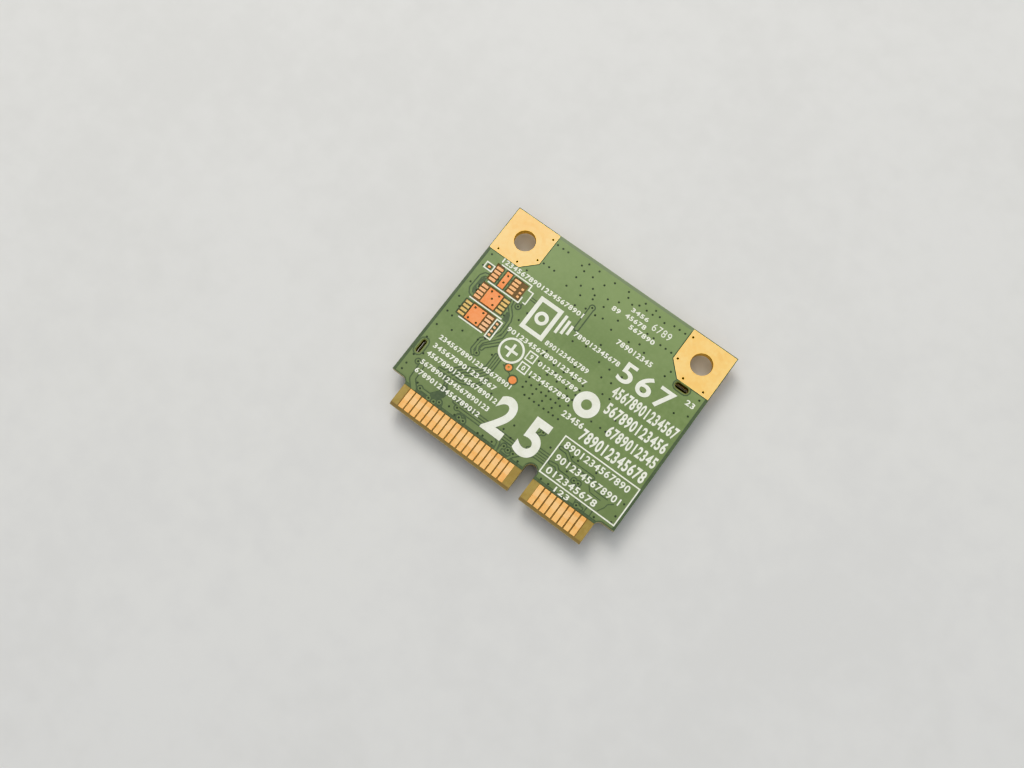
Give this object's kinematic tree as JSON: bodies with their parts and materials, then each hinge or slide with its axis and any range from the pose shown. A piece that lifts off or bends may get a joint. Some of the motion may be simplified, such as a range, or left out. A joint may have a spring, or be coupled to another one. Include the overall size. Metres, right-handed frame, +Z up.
{
  "type": "laptop wifi module",
  "caption": "Half-size mini card radio module: notched green circuit board with gold edge contacts, two plated screw holes, a snap-lid shield can and two coaxial antenna sockets.",
  "frame": {"origin": "centre of the board's 30 by 26.8 mm footprint, on the outer face of the shield lid that the card lies on", "axes": "+Z up, out of the solder side; +X along the connector edge, toward the short row of contacts; +Y from the connector edge to the screw holes"},
  "size_m": [0.03, 0.0268, 0.0025],
  "materials": {
    "laminate": "glass-epoxy laminate, ochre, cut edges with fine fibre layers",
    "solder_mask": "green solder mask, satin, darker where no copper lies below it",
    "gold_plate": "thin gold over nickel, soft sheen",
    "contact_gold": "gold contacts, faint rubbing marks",
    "bare_copper": "bare copper with a clear protective film",
    "legend_ink": "white screen-printed ink",
    "solder_tin": "bright solder",
    "frame_sheet": "tinned sheet",
    "lid_sheet": "nickel-silver sheet, satin",
    "chip_moulding": "black moulding compound",
    "cream_ceramic": "fired ceramic",
    "ferrite": "dark grey ferrite",
    "brown_ceramic": "brown ceramic",
    "tan_ceramic": "tan ceramic",
    "resistor_glaze": "black glaze",
    "socket_plastic": "ivory moulded plastic"
  },
  "bodies": {
    "root": {"board_laminate": "laminate", "solder_mask_upper": "solder_mask", "solder_mask_lower": "solder_mask", "mounting_lands": "gold_plate", "edge_contacts_upper": "contact_gold", "edge_contacts_lower": "contact_gold", "bare_footprints": "bare_copper", "test_lands": "bare_copper", "legend_ink": "legend_ink", "component_lands": "solder_tin", "shield_track": "solder_tin", "shield_frame": "frame_sheet", "shield_lid": "lid_sheet", "radio_chip_body": "chip_moulding", "radio_chip_leads": "solder_tin", "crystal_base": "cream_ceramic", "crystal_lid": "lid_sheet", "memory_chip_body": "chip_moulding", "memory_chip_leads": "solder_tin", "antenna_switch_body": "chip_moulding", "antenna_switch_leads": "solder_tin", "regulator_body": "chip_moulding", "regulator_leads": "solder_tin", "power_inductors": "ferrite", "power_inductor_ends": "solder_tin", "bulk_capacitors": "brown_ceramic", "bulk_capacitor_ends": "solder_tin", "small_capacitors": "tan_ceramic", "small_capacitor_ends": "solder_tin", "resistors": "resistor_glaze", "resistor_ends": "solder_tin", "band_filters": "cream_ceramic", "band_filter_ends": "solder_tin", "antenna_socket_bases": "socket_plastic", "antenna_socket_rings": "gold_plate", "antenna_socket_pins": "gold_plate"}
  },
  "joints": []
}
